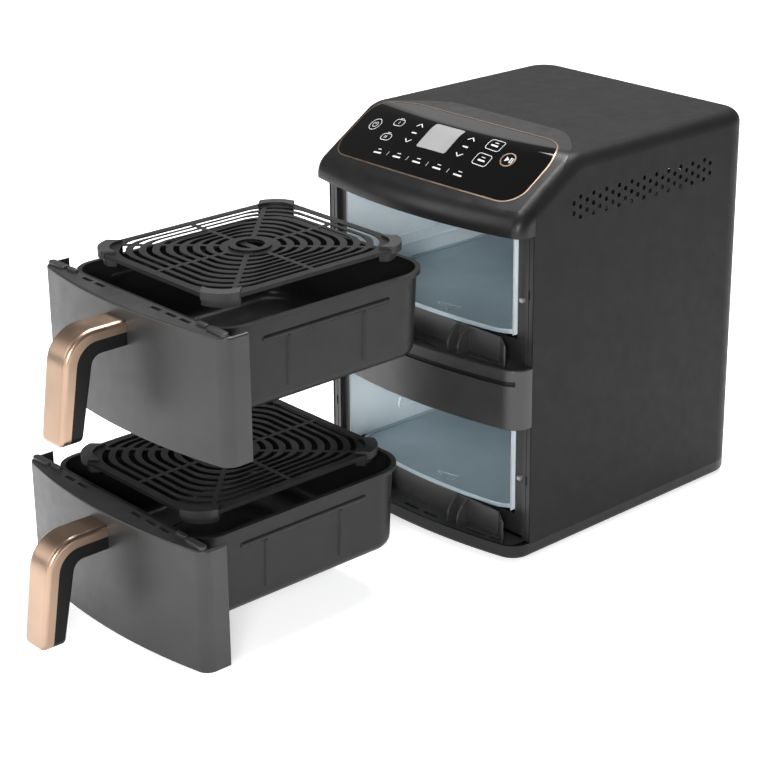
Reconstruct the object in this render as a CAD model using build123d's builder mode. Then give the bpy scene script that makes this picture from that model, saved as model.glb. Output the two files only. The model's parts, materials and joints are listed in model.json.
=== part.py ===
from build123d import *
import math
import os

os.makedirs("parts", exist_ok=True)

# ----------------------------------------------------------------------------
# Driving dimensions in millimetres. +Z is up, the front faces -Y, and the origin
# is the centre of the cabinet's footprint on the surface it stands on.
# ----------------------------------------------------------------------------
WIDTH = 296.0
DEPTH = 318.0
HEIGHT = 403.0
HALF_WIDTH = WIDTH / 2
FRONT_Y = -DEPTH / 2
REAR_Y = DEPTH / 2

BOW_Y = -197.0  # foremost line of the head, band, drawers and base lip
BOW_RADIUS = 600.0
FRONT_CORNER = 22.0
TOP_RADIUS = 14.0
REAR_RADIUS = 31.0

FOOT_HEIGHT = 3.0
SEAM_Z = 16.0  # joint between base tray and outer shell
LIP_TOP = 17.5
BAND_BOTTOM = 141.0
BAND_TOP = 203.5
HEAD_BOTTOM = 336.0

SHEET = 1.5  # outer shell
WALL = 3.0  # moulded housings
STEEL = 0.8  # liner sheet

DRAWER_BOTTOM = {"lower": 18.5, "upper": 204.5}
DRAWER_HEIGHT = 118.0
DRAWER_HALF_WIDTH = 135.0
DRAWER_TRAVEL = {"lower": 364.0, "upper": 332.0}  # from closed to fully out
PLATE_LIFT = {"lower": 83.0, "upper": 91.0}

CAVITY_HALF_WIDTH = 120.0
CAVITY_REAR_Y = 84.0
CAVITY_FLOOR = 25.0  # above the drawer's bottom edge
CAVITY_TOP = 126.0  # above the drawer's bottom edge
BULKHEAD_Y = -153.0
PILLAR_INNER = 136.8

PAN_HALF_WIDTH = 113.5
PAN_FRONT_Y = -168.0
PAN_REAR_Y = 74.0
PAN_BOTTOM = 32.0  # above the drawer's bottom edge
PAN_TOP = 116.0
PAN_WALL = 1.2
PAN_TAPER = 2.5
RIM_WIDTH = 3.5

PLATE_HALF_X = 96.0
PLATE_HALF_Y = 111.0
PLATE_THICK = 1.0
PLATE_SEAT = 45.0  # plate's underside above the drawer's bottom edge when seated

FAN_RADIUS = 36.0
SHAFT_RADIUS = 2.5
MOTOR_FRONT_Y = 112.0
MOTOR_DEPTH = 30.0


def bow_at(x, front_y=BOW_Y):
    """Y of the bowed front at a distance x from the centre line."""
    return front_y + BOW_RADIUS - math.sqrt(BOW_RADIUS**2 - x**2)


def level(height, out=0.0):
    """Horizontal plane at a height, moved out to the front by a distance."""
    return Plane(origin=(0, -out, height), x_dir=(1, 0, 0), z_dir=(0, 0, 1))


def side_on(x=0.0, out=0.0):
    """Upright plane that faces +X, its axes running along Y and Z."""
    return Plane(origin=(x, -out, 0), x_dir=(0, 1, 0), z_dir=(1, 0, 0))


def rearward(x, y, z):
    """Upright plane that faces the rear, its first axis along X."""
    return Plane(origin=(x, y, z), x_dir=(1, 0, 0), z_dir=(0, 1, 0))


def bowed_outline(half_width, back_y, corner, front_y=BOW_Y, rear_corner=0.0):
    """Plan outline with a bowed front, straight sides and a flat back."""
    side_y = bow_at(half_width, front_y)
    with BuildSketch() as outline:
        with BuildLine():
            ThreePointArc((-half_width, side_y), (0, front_y), (half_width, side_y))
            Polyline(
                (half_width, side_y), (half_width, back_y), (-half_width, back_y), (-half_width, side_y)
            )
        make_face()
        if rear_corner:
            fillet(outline.vertices().group_by(Axis.Y)[-1], rear_corner)
        fillet(outline.vertices().group_by(Axis.Y)[0], corner)
    return outline.sketch


def save(builder, name):
    """Label a finished piece and write its STEP file."""
    builder.part.label = name
    export_step(builder.part, f"parts/{name}.step")


# ----------------------------------------------------------------------------
# Shared forms
# ----------------------------------------------------------------------------
def cabinet_form(inset):
    """The cabinet's outer body drawn in by inset: rounded top and rear corners."""
    with BuildPart() as form:
        with BuildSketch(level(SEAM_Z)) as footprint:
            Rectangle(WIDTH - 2 * inset, DEPTH - 2 * inset)
            fillet(footprint.vertices().group_by(Axis.Y)[-1], REAR_RADIUS - inset)
        extrude(amount=HEIGHT - SEAM_Z - inset)
        top_edges = form.edges().group_by(Axis.Z)[-1].sort_by(Axis.Y)
        fillet(top_edges[1:], TOP_RADIUS - inset)
    return form.part


HEAD_SLOPE_TOP_Y = -120.0
HEAD_SLOPE_BOTTOM_Z = 352.0
HEAD_UPPER_RADIUS = 36.0
HEAD_LOWER_RADIUS = 25.0
HEAD_SLOPE = math.atan2(HEIGHT - HEAD_SLOPE_BOTTOM_Z, HEAD_SLOPE_TOP_Y - BOW_Y)
HEAD_BACK_Y = -25.0
HEAD_JOINT_Z = 347.0  # where the joint with the shell meets the front


def head_form(inset, bottom=HEAD_BOTTOM):
    """The sloped, bowed head drawn in by inset, with rounded side edges."""
    lower_shift = inset * math.tan((math.pi / 2 - HEAD_SLOPE) / 2)
    upper_shift = inset * math.tan(HEAD_SLOPE / 2)
    with BuildPart() as form:
        with BuildSketch(side_on()):
            with BuildLine():
                front = FilletPolyline(
                    (BOW_Y + inset, bottom),
                    (BOW_Y + inset, HEAD_SLOPE_BOTTOM_Z - lower_shift),
                    (HEAD_SLOPE_TOP_Y + upper_shift, HEIGHT - inset),
                    (HEAD_BACK_Y + 5, HEIGHT - inset),
                    radius=[HEAD_LOWER_RADIUS - inset, HEAD_UPPER_RADIUS - inset],
                )
                Polyline(front @ 1, (HEAD_BACK_Y + 5, bottom), front @ 0)
            make_face()
        revolve(axis=Axis((0, BOW_Y + BOW_RADIUS, 0), (0, 0, 1)))
        with BuildSketch(level(bottom)):
            with Locations((0, HEAD_BACK_Y - DEPTH / 2)):
                Rectangle(WIDTH - 2 * inset, DEPTH)
        extrude(amount=HEIGHT, mode=Mode.INTERSECT)
        for side_face in (form.faces().sort_by(Axis.X)[0], form.faces().sort_by(Axis.X)[-1]):
            outer_edges = side_face.edges().sort_by(Axis.Y)[:-1].sort_by(Axis.Z)[1:]
            fillet(outer_edges, TOP_RADIUS - inset)
    return form.part


def head_split(gap=0.0):
    """Everything in front of the joint between head and outer shell, curved in plan."""
    far = BOW_Y - 40
    corner = [(64, -47), (100, -62), (128, -90), (141, -113), (144.5, -143), (146.5, -156), (155, -161)]
    right_corner = [(x - gap, y - gap) for x, y in corner]
    left_corner = [(-x, y) for x, y in right_corner]
    with BuildPart() as region:
        with BuildSketch(level(HEAD_BOTTOM)):
            with BuildLine():
                right = Spline(*right_corner, tangents=[(1, 0), (1, -0.3)])
                left = Spline(*left_corner, tangents=[(-1, 0), (-1, -0.3)])
                Line(left @ 0, right @ 0)
                Polyline(right @ 1, (HALF_WIDTH + 10, far), (-HALF_WIDTH - 10, far), left @ 1)
            make_face()
        extrude(amount=HEIGHT)
    return region.part


def shell_form(inset):
    """The cabinet's body with its upper front corner shaped like the head."""
    with BuildPart() as form:
        add(cabinet_form(inset))
        with BuildSketch(level(HEAD_BOTTOM)):
            with Locations((0, HEAD_BACK_Y - DEPTH / 2)):
                Rectangle(WIDTH + 10, DEPTH)
        extrude(amount=HEIGHT, mode=Mode.SUBTRACT)
        add(head_form(inset))
        with BuildSketch(level(HEAD_BOTTOM - 1)):
            with Locations((0, FRONT_Y + inset - DEPTH / 2)):
                Rectangle(WIDTH + 10, DEPTH)
        extrude(amount=HEIGHT, mode=Mode.SUBTRACT)
    return form.part


# ----------------------------------------------------------------------------
# Cabinet shell, rear cover, base and feet
# ----------------------------------------------------------------------------
VENT_COLUMNS = 23
VENT_PITCH = 9.1
VENT_ROW = 10.0
VENT_RADIUS = 2.4
VENT_FRONT_Y = -106.0
VENT_Z = 352.0
REAR_WINDOW_X = 104.0
REAR_WINDOW_Z = (34.0, 372.0)


def vent_holes():
    """Staggered round vents: columns of two and three holes in turn."""
    points = []
    for column in range(VENT_COLUMNS):
        count = 2 + column % 2
        for row in range(count):
            height = VENT_Z + (row - (count - 1) / 2) * VENT_ROW
            points.append((VENT_FRONT_Y + column * VENT_PITCH, height))
    return points


with BuildPart() as outer_shell:
    add(shell_form(0))
    add(shell_form(SHEET), mode=Mode.SUBTRACT)
    with BuildSketch(level(SEAM_Z)):
        with Locations((0, FRONT_Y)):
            Rectangle(WIDTH - 2 * SHEET, 10)
    extrude(amount=HEAD_JOINT_Z - SEAM_Z, mode=Mode.SUBTRACT)
    add(head_split(), mode=Mode.SUBTRACT)
    with BuildSketch(side_on(-HALF_WIDTH - 1)):
        with Locations(*vent_holes()):
            Circle(VENT_RADIUS)
    extrude(amount=WIDTH + 2, mode=Mode.SUBTRACT)
    with BuildSketch(rearward(0, REAR_Y - 4, sum(REAR_WINDOW_Z) / 2)):
        RectangleRounded(2 * REAR_WINDOW_X, REAR_WINDOW_Z[1] - REAR_WINDOW_Z[0], 12)
    extrude(amount=6, mode=Mode.SUBTRACT)
save(outer_shell, "outer_shell")

COVER_MARGIN = 6.0
COVER_THICK = 2.0
COVER_Y = REAR_Y - SHEET - COVER_THICK
COVER_HALF_X = REAR_WINDOW_X + COVER_MARGIN
INLET = (-82.0, 52.0)
INLET_RADIUS = 9.0
COVER_SCREWS = [(x, z) for x in (-98.0, 0.0, 98.0) for z in (41.0, 365.0)]
SCREW_SHANK = 1.5
SCREW_HEAD = 3.4

with BuildPart() as rear_cover:
    with BuildSketch(rearward(0, COVER_Y, sum(REAR_WINDOW_Z) / 2)):
        RectangleRounded(
            2 * COVER_HALF_X, REAR_WINDOW_Z[1] - REAR_WINDOW_Z[0] + 2 * COVER_MARGIN, 14
        )
    extrude(amount=COVER_THICK)
    for centre in (300.0, 118.0):
        with BuildSketch(rearward(0, COVER_Y - 1, centre)):
            with GridLocations(0, 9, 1, 9):
                SlotOverall(120, 4)
        extrude(amount=COVER_THICK + 2, mode=Mode.SUBTRACT)
    with BuildSketch(rearward(INLET[0], COVER_Y - 1, INLET[1])):
        Circle(INLET_RADIUS)
    extrude(amount=COVER_THICK + 2, mode=Mode.SUBTRACT)
    for x, z in COVER_SCREWS:
        with BuildSketch(rearward(x, COVER_Y - 1, z)):
            Circle(SCREW_SHANK + 0.2)
        extrude(amount=COVER_THICK + 2, mode=Mode.SUBTRACT)
save(rear_cover, "rear_cover")

with BuildPart() as cord_inlet:
    with BuildSketch(rearward(INLET[0], COVER_Y - 6, INLET[1])):
        Circle(INLET_RADIUS - 0.1)
        Circle(4.0, mode=Mode.SUBTRACT)
    extrude(amount=10)
    with BuildSketch(rearward(INLET[0], COVER_Y + COVER_THICK, INLET[1])):
        Circle(INLET_RADIUS + 3)
        Circle(4.0, mode=Mode.SUBTRACT)
    extrude(amount=2.5)
save(cord_inlet, "cord_inlet")

with BuildPart() as rear_screws:
    for x, z in COVER_SCREWS:
        with BuildSketch(rearward(x, COVER_Y + COVER_THICK, z)):
            Circle(SCREW_HEAD)
        extrude(amount=2)
        with BuildSketch(rearward(x, COVER_Y - 6, z)):
            Circle(SCREW_SHANK)
        extrude(amount=6 + COVER_THICK)
save(rear_screws, "rear_screws")

TRAY_FLOOR = 3.0
FOOT_RADIUS = 13.0
FOOT_POCKET = 1.0
FOOT_SPOTS = [(-104, -162), (104, -162), (-104, 122), (104, 122)]


def tray_outline(inset):
    """Plan of the base tray: bowed lip in front, rounded corners behind."""
    return bowed_outline(
        HALF_WIDTH - inset, REAR_Y - inset, FRONT_CORNER - inset, BOW_Y + inset, REAR_RADIUS - inset
    )


with BuildPart() as base_tray:
    with BuildSketch(level(FOOT_HEIGHT)):
        add(tray_outline(0))
    extrude(amount=SEAM_Z - FOOT_HEIGHT)
    fillet(base_tray.edges().group_by(Axis.Z)[0], 4.5)
    with BuildSketch(level(FOOT_HEIGHT + TRAY_FLOOR)):
        add(tray_outline(WALL))
    extrude(amount=SEAM_Z, mode=Mode.SUBTRACT)
    # The lip is raised in front of the pillars.
    with BuildSketch(level(SEAM_Z)) as lip:
        add(tray_outline(0))
        add(tray_outline(WALL), mode=Mode.SUBTRACT)
        with Locations((0, FRONT_Y + DEPTH / 2)):
            Rectangle(2 * WIDTH, DEPTH, mode=Mode.SUBTRACT)
    extrude(amount=LIP_TOP - SEAM_Z)
    with BuildSketch(level(FOOT_HEIGHT - 1)):
        with GridLocations(14, 30, 9, 2):
            SlotOverall(26, 3, rotation=90)
    extrude(amount=TRAY_FLOOR + 2, mode=Mode.SUBTRACT)
    with BuildSketch(level(FOOT_HEIGHT)):
        with Locations(*FOOT_SPOTS):
            Circle(FOOT_RADIUS + 0.6)
    extrude(amount=FOOT_POCKET, mode=Mode.SUBTRACT)
save(base_tray, "base_tray")

with BuildPart() as rubber_feet:
    with BuildSketch(level(0)):
        with Locations(*FOOT_SPOTS):
            Circle(FOOT_RADIUS)
    extrude(amount=FOOT_HEIGHT + FOOT_POCKET, taper=4)
save(rubber_feet, "rubber_feet")

# ----------------------------------------------------------------------------
# Front: pillars, bulkhead, divider band and decks
# ----------------------------------------------------------------------------
PILLAR_FRONT = FRONT_Y + 0.5
PILLAR_OUTER = HALF_WIDTH - SHEET - 0.1
CATCH_SLOTS = [83.0, 276.0]

for side, name in ((-1, "left_pillar"), (1, "right_pillar")):
    with BuildPart() as pillar:
        with BuildSketch(level(LIP_TOP)):
            with BuildLine():
                Polyline(
                    (side * PILLAR_INNER, PILLAR_FRONT),
                    (side * PILLAR_OUTER, PILLAR_FRONT),
                    (side * PILLAR_OUTER, PILLAR_FRONT + 12),
                    (side * (PILLAR_OUTER - 2.5), PILLAR_FRONT + 12),
                    (side * (PILLAR_OUTER - 2.5), PILLAR_FRONT + 2.5),
                    (side * (PILLAR_INNER + 2.5), PILLAR_FRONT + 2.5),
                    (side * (PILLAR_INNER + 2.5), PILLAR_FRONT + 9),
                    (side * PILLAR_INNER, PILLAR_FRONT + 9),
                    close=True,
                )
            make_face()
        extrude(amount=HEAD_BOTTOM - LIP_TOP)
        with BuildSketch(level(LIP_TOP)):
            with Locations((side * (PILLAR_INNER + 4.2), PILLAR_FRONT)):
                Rectangle(0.9, 1.6)
        extrude(amount=HEAD_BOTTOM - LIP_TOP, mode=Mode.SUBTRACT)
        for height in CATCH_SLOTS:
            with BuildSketch(rearward(side * (PILLAR_INNER + 4.6), PILLAR_FRONT - 1, height)):
                SlotOverall(11, 2.4, rotation=90)
            extrude(amount=4, mode=Mode.SUBTRACT)
    save(pillar, name)

WINDOW_LOW = 19.0
WINDOW_HIGH = 127.5
BULKHEAD_THICK = 2.5
PLUNGER_X = 128.5
PLUNGER_HEIGHT = 62.0  # above the drawer's bottom edge
PLUNGER_SIDE = 4.0
PLUNGER_TIP_Y = BULKHEAD_Y - 4

with BuildPart() as front_bulkhead:
    mid_height = (LIP_TOP + HEAD_BOTTOM) / 2
    with BuildSketch(rearward(0, BULKHEAD_Y, mid_height)):
        Rectangle(2 * (PILLAR_INNER - 0.2), HEAD_BOTTOM - LIP_TOP - 0.4)
    extrude(amount=BULKHEAD_THICK)
    for bottom in DRAWER_BOTTOM.values():
        window_mid = bottom + (WINDOW_LOW + WINDOW_HIGH) / 2
        with BuildSketch(rearward(0, BULKHEAD_Y - 1, window_mid)):
            Rectangle(2 * CAVITY_HALF_WIDTH + 2.4, WINDOW_HIGH - WINDOW_LOW)
        extrude(amount=BULKHEAD_THICK + 2, mode=Mode.SUBTRACT)
        with BuildSketch(rearward(PLUNGER_X, BULKHEAD_Y - 1, bottom + PLUNGER_HEIGHT)):
            Rectangle(PLUNGER_SIDE + 1, PLUNGER_SIDE + 1)
        extrude(amount=BULKHEAD_THICK + 2, mode=Mode.SUBTRACT)
save(front_bulkhead, "front_bulkhead")

GROOVE_HEIGHT = 5.0
GROOVE_DROP = 11.5  # groove's upper edge below the band's top
GROOVE_DEPTH = 2.2
GROOVE_HALF_WIDTH = 142.0
DECK_HALF_WIDTH = 134.0

with BuildPart() as divider_band:
    with BuildSketch(level(BAND_BOTTOM)):
        add(bowed_outline(HALF_WIDTH, FRONT_Y - 0.2, FRONT_CORNER))
    extrude(amount=BAND_TOP - BAND_BOTTOM)
    fillet(
        divider_band.faces().sort_by(Axis.Z)[0].edges().sort_by(Axis.Y)[:3]
        + divider_band.faces().sort_by(Axis.Z)[-1].edges().sort_by(Axis.Y)[:3],
        1.5,
    )
    with BuildSketch(level(BAND_TOP - GROOVE_DROP - GROOVE_HEIGHT)):
        with Locations((0, BOW_Y)):
            Rectangle(2 * GROOVE_HALF_WIDTH, 60)
        add(
            bowed_outline(
                HALF_WIDTH - GROOVE_DEPTH, FRONT_Y + 5, FRONT_CORNER - GROOVE_DEPTH, BOW_Y + GROOVE_DEPTH
            ),
            mode=Mode.SUBTRACT,
        )
    extrude(amount=GROOVE_HEIGHT, mode=Mode.SUBTRACT)
    with BuildSketch(level(BAND_BOTTOM + 2.5)):
        add(bowed_outline(HALF_WIDTH - 5, FRONT_Y + 5, FRONT_CORNER - 5, BOW_Y + 5))
    extrude(amount=BAND_TOP - BAND_BOTTOM - 5, mode=Mode.SUBTRACT)
    with BuildSketch(level(BAND_TOP - 5)):
        add(bowed_outline(DECK_HALF_WIDTH + 0.4, FRONT_Y + 5, 8, BOW_Y + 4.8))
    extrude(amount=10, mode=Mode.SUBTRACT)
save(divider_band, "divider_band")

DECK_THICK = 2.0
DECK_DROP = 3.0  # deck's top below the lip it meets
STEP_HALF_WIDTH = 108.0
STEP_END_X = 128.0
STEP_Y = -162.0
STEP_TOP = 21.0
DECK_SLOTS = [(-96, 22), (-62, 22), (0, 22), (28, 20), (88, 24), (114, 18)]
CATCH_X = 58.0
CATCH_REACH = 17.0

for level_name, bottom in DRAWER_BOTTOM.items():
    deck_top = bottom - 1 - DECK_DROP
    with BuildPart() as front_deck:
        with BuildSketch(level(deck_top - DECK_THICK)):
            add(bowed_outline(DECK_HALF_WIDTH, BULKHEAD_Y - 0.2, 8, BOW_Y + 5.2))
        extrude(amount=DECK_THICK)
        # Step up to the cavity floor, slanting forward at both ends.
        with BuildSketch(level(deck_top)):
            with BuildLine():
                Polyline(
                    (-STEP_END_X, STEP_Y - 14),
                    (-STEP_HALF_WIDTH, STEP_Y),
                    (STEP_HALF_WIDTH, STEP_Y),
                    (STEP_END_X, STEP_Y - 14),
                    (STEP_END_X, STEP_Y - 16),
                    (STEP_HALF_WIDTH + 0.6, STEP_Y - 2),
                    (-STEP_HALF_WIDTH - 0.6, STEP_Y - 2),
                    (-STEP_END_X, STEP_Y - 16),
                    close=True,
                )
            make_face()
        extrude(amount=bottom + STEP_TOP - deck_top)
        for slot_x, length in DECK_SLOTS:
            with BuildSketch(level(deck_top - DECK_THICK - 1)):
                with Locations((slot_x, bow_at(slot_x) + 16)):
                    Rectangle(length, 5, rotation=math.degrees(slot_x / BOW_RADIUS))
            extrude(amount=DECK_THICK + 2, mode=Mode.SUBTRACT)
        # Raised catches that steady the drawer.
        for catch in (-CATCH_X, CATCH_X):
            for rib in (-7, 7):
                with BuildSketch(side_on(catch + rib - 1.25)):
                    with BuildLine():
                        Polyline(
                            (STEP_Y - 1.9, deck_top),
                            (STEP_Y - CATCH_REACH, deck_top),
                            (STEP_Y - CATCH_REACH, deck_top + 4),
                        )
                        RadiusArc(
                            (STEP_Y - CATCH_REACH, deck_top + 4),
                            (STEP_Y - 1.9, bottom + STEP_TOP),
                            24,
                        )
                        Line((STEP_Y - 1.9, bottom + STEP_TOP), (STEP_Y - 1.9, deck_top))
                    make_face()
                extrude(amount=2.5)
    save(front_deck, f"{level_name}_deck")

# ----------------------------------------------------------------------------
# Cavities: liner, floor plate, fan guard, chamber, heater, fans and motor
# ----------------------------------------------------------------------------
LINER_FRONT_Y = -158.0
RIB_LENGTH = 150.0
RIB_TOP = 54.0
RIB_BOTTOM = 40.0
RIB_RAISE = 1.0
GUARD_RADIUS = 44.0
CHAMBER_HALF_X = 74.0
CHAMBER_HALF_Z = 47.0
CHAMBER_DEPTH = 24.0
HEATER_RADIUS = 41.5
HEATER_TUBE = 3.0
HEATER_Y = CAVITY_REAR_Y + 12
FLOOR_FRONT_Y = -165.0
TERMINAL_X = 30.0
TERMINAL_RISE = math.sqrt(HEATER_RADIUS**2 - TERMINAL_X**2)


def cavity_centre(bottom):
    """Height of the fan axis for a cavity."""
    return bottom + (CAVITY_FLOOR + CAVITY_TOP) / 2


for level_name, bottom in DRAWER_BOTTOM.items():
    floor_z = bottom + CAVITY_FLOOR
    top_z = bottom + CAVITY_TOP
    fan_z = cavity_centre(bottom)

    with BuildPart() as liner:
        with BuildSketch(rearward(0, LINER_FRONT_Y, (floor_z + top_z) / 2)):
            Rectangle(2 * (CAVITY_HALF_WIDTH + STEEL), top_z - floor_z)
        extrude(amount=CAVITY_REAR_Y + STEEL - LINER_FRONT_Y)
        with BuildSketch(rearward(0, LINER_FRONT_Y - 1, (floor_z + top_z) / 2 - STEEL)):
            Rectangle(2 * CAVITY_HALF_WIDTH, top_z - floor_z)
        extrude(amount=CAVITY_REAR_Y - LINER_FRONT_Y + 1, mode=Mode.SUBTRACT)
        with BuildSketch(rearward(0, CAVITY_REAR_Y - 1, fan_z)):
            Circle(GUARD_RADIUS)
        extrude(amount=STEEL + 2, mode=Mode.SUBTRACT)
        # Pressed beads on both side walls, raised into the cavity.
        for side in (-1, 1):
            bead_x = side * CAVITY_HALF_WIDTH - (RIB_RAISE if side > 0 else 0)
            with BuildSketch(side_on(bead_x)):
                with Locations((-15.0, bottom + (RIB_TOP + RIB_BOTTOM) / 2)):
                    RectangleRounded(RIB_LENGTH, RIB_TOP - RIB_BOTTOM, 5)
                    RectangleRounded(RIB_LENGTH - 5, RIB_TOP - RIB_BOTTOM - 5, 2.5, mode=Mode.SUBTRACT)
            extrude(amount=RIB_RAISE)
    save(liner, f"{level_name}_liner")

    with BuildPart() as floor_plate:
        half = CAVITY_HALF_WIDTH - 0.4
        with BuildSketch(level(floor_z - STEEL)):
            add(bowed_outline(half, CAVITY_REAR_Y - 0.4, 30, FLOOR_FRONT_Y, 4))
        extrude(amount=STEEL)
        with BuildSketch(level(floor_z - 3.4)):
            add(bowed_outline(half, CAVITY_REAR_Y - 0.4, 30, FLOOR_FRONT_Y, 4))
            add(
                bowed_outline(half - 1, CAVITY_REAR_Y - 1.4, 29, FLOOR_FRONT_Y + 1, 3),
                mode=Mode.SUBTRACT,
            )
        extrude(amount=3.4 - STEEL)
        # Pressed step round the plate's edge.
        with BuildSketch(level(floor_z)):
            add(bowed_outline(half, CAVITY_REAR_Y - 0.4, 30, FLOOR_FRONT_Y, 4))
            add(
                bowed_outline(half - 5, CAVITY_REAR_Y - 5.4, 25, FLOOR_FRONT_Y + 5, 3),
                mode=Mode.SUBTRACT,
            )
        extrude(amount=1.2)
    save(floor_plate, f"{level_name}_floor_plate")

    with BuildPart() as fan_guard:
        with BuildSketch(rearward(0, CAVITY_REAR_Y + STEEL, fan_z)):
            Circle(GUARD_RADIUS + 2)
            for ring in (10, 18, 26, 34):
                with PolarLocations(ring, ring):
                    Circle(1.9, mode=Mode.SUBTRACT)
        extrude(amount=0.8)
    save(fan_guard, f"{level_name}_fan_guard")

    chamber_y = CAVITY_REAR_Y + STEEL + 0.9
    with BuildPart() as fan_chamber:
        with BuildSketch(rearward(0, chamber_y, fan_z)):
            RectangleRounded(2 * CHAMBER_HALF_X, 2 * CHAMBER_HALF_Z, 18)
        extrude(amount=CHAMBER_DEPTH)
        with BuildSketch(rearward(0, chamber_y - 1, fan_z)):
            RectangleRounded(2 * (CHAMBER_HALF_X - 0.8), 2 * (CHAMBER_HALF_Z - 0.8), 17.2)
        extrude(amount=CHAMBER_DEPTH + 0.2, mode=Mode.SUBTRACT)
        with BuildSketch(rearward(0, chamber_y, fan_z)):
            Circle(SHAFT_RADIUS + 2)
            with Locations((-TERMINAL_X, -TERMINAL_RISE), (TERMINAL_X, -TERMINAL_RISE)):
                Circle(HEATER_TUBE + 0.6)
        extrude(amount=CHAMBER_DEPTH + 2, mode=Mode.SUBTRACT)
    save(fan_chamber, f"{level_name}_fan_chamber")

    with BuildPart() as heating_element:
        with BuildSketch(Plane(origin=(0, HEATER_Y, fan_z), x_dir=(1, 0, 0), z_dir=(0, 0, 1))):
            with Locations((HEATER_RADIUS, 0)):
                Circle(HEATER_TUBE)
        revolve(axis=Axis((0, HEATER_Y, fan_z), (0, 1, 0)))
        with BuildSketch(rearward(0, HEATER_Y, fan_z)):
            with Locations((-TERMINAL_X, -TERMINAL_RISE), (TERMINAL_X, -TERMINAL_RISE)):
                Circle(HEATER_TUBE - 0.6)
        extrude(amount=22)
    save(heating_element, f"{level_name}_heating_element")

    with BuildPart() as convection_fan:
        with BuildSketch(rearward(0, HEATER_Y - 6, fan_z)):
            Circle(9)
        extrude(amount=12)
        with BuildSketch(rearward(0, HEATER_Y + 3, fan_z)):
            Circle(FAN_RADIUS)
        extrude(amount=1)
        with BuildSketch(rearward(0, HEATER_Y - 6, fan_z)):
            with PolarLocations(21, 8):
                Rectangle(29, 1.2)
        extrude(amount=10)
        with BuildSketch(rearward(0, HEATER_Y + 5, fan_z)):
            Circle(SHAFT_RADIUS)
        extrude(amount=MOTOR_FRONT_Y + MOTOR_DEPTH + 8 - HEATER_Y - 5)
    save(convection_fan, f"{level_name}_convection_fan")

    with BuildPart() as motor:
        with BuildSketch(rearward(0, MOTOR_FRONT_Y, fan_z)):
            Circle(17)
        extrude(amount=MOTOR_DEPTH)
        with BuildSketch(rearward(0, MOTOR_FRONT_Y + 6, fan_z)):
            RectangleRounded(66, 58, 4)
        extrude(amount=16)
        with BuildSketch(rearward(0, MOTOR_FRONT_Y - 1, fan_z)):
            Circle(SHAFT_RADIUS + 0.3)
        extrude(amount=MOTOR_DEPTH + 2, mode=Mode.SUBTRACT)
    save(motor, f"{level_name}_motor")

    with BuildPart() as cooling_fan:
        cooling_y = MOTOR_FRONT_Y + MOTOR_DEPTH + 1.5
        with BuildSketch(rearward(0, cooling_y, fan_z)):
            Circle(8)
            Circle(SHAFT_RADIUS, mode=Mode.SUBTRACT)
        extrude(amount=6)
        with BuildSketch(rearward(0, cooling_y, fan_z)):
            with PolarLocations(18, 6):
                Rectangle(22, 1.4)
        extrude(amount=6)
    save(cooling_fan, f"{level_name}_cooling_fan")

    plunger_z = bottom + PLUNGER_HEIGHT
    with BuildPart() as switch_plunger:
        with BuildSketch(rearward(PLUNGER_X, PLUNGER_TIP_Y, plunger_z)):
            Rectangle(PLUNGER_SIDE, PLUNGER_SIDE)
        extrude(amount=9)
        fillet(switch_plunger.faces().sort_by(Axis.Y)[0].edges(), 0.8)
    save(switch_plunger, f"{level_name}_switch_plunger")

with BuildPart() as motor_brackets:
    bracket_y = MOTOR_FRONT_Y + 22.2
    chamber_back = CAVITY_REAR_Y + STEEL + 0.9 + CHAMBER_DEPTH
    for bottom in DRAWER_BOTTOM.values():
        fan_z = cavity_centre(bottom)
        with BuildSketch(rearward(0, bracket_y, fan_z)):
            Rectangle(100, 20)
            Circle(17.3, mode=Mode.SUBTRACT)
        extrude(amount=1.2)
        for side in (-1, 1):
            with BuildSketch(level(fan_z - 10)):
                with Locations((side * 49.4, (chamber_back + bracket_y) / 2)):
                    Rectangle(1.2, bracket_y - chamber_back)
            extrude(amount=20)
save(motor_brackets, "motor_brackets")

with BuildPart() as drawer_switches:
    for bottom in DRAWER_BOTTOM.values():
        plunger_z = bottom + PLUNGER_HEIGHT
        with BuildSketch(rearward(PLUNGER_X, BULKHEAD_Y + BULKHEAD_THICK + 0.1, plunger_z)):
            Rectangle(11, 20)
        extrude(amount=14)
        with BuildSketch(rearward(PLUNGER_X, BULKHEAD_Y, plunger_z)):
            Rectangle(PLUNGER_SIDE + 0.8, PLUNGER_SIDE + 0.8)
        extrude(amount=10, mode=Mode.SUBTRACT)
save(drawer_switches, "drawer_switches")

with BuildPart() as divider_shelf:
    with BuildSketch(level(172)):
        with Locations((0, (BULKHEAD_Y + 8 + CAVITY_REAR_Y) / 2)):
            Rectangle(2 * (HALF_WIDTH - SHEET - 0.3), CAVITY_REAR_Y - BULKHEAD_Y - 8)
    extrude(amount=1)
    with BuildSketch(level(171)):
        with GridLocations(80, 60, 3, 3):
            Circle(12)
    extrude(amount=3, mode=Mode.SUBTRACT)
save(divider_shelf, "divider_shelf")

with BuildPart() as thermal_cutouts:
    for bottom in DRAWER_BOTTOM.values():
        with BuildSketch(level(bottom + CAVITY_TOP)):
            with Locations((60, 20)):
                Circle(8)
        extrude(amount=5)
        with BuildSketch(level(bottom + CAVITY_TOP + 5)):
            with Locations((60, 20)):
                Circle(4.5)
        extrude(amount=3)
save(thermal_cutouts, "thermal_cutouts")

with BuildPart() as temperature_probes:
    for bottom in DRAWER_BOTTOM.values():
        with BuildSketch(level(bottom + CAVITY_TOP)):
            with Locations((-50, 40)):
                Rectangle(22, 12)
        extrude(amount=2)
        with BuildSketch(side_on(-70)):
            with Locations((40, bottom + CAVITY_TOP + 5)):
                Circle(2.6)
        extrude(amount=40)
save(temperature_probes, "temperature_probes")

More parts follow.
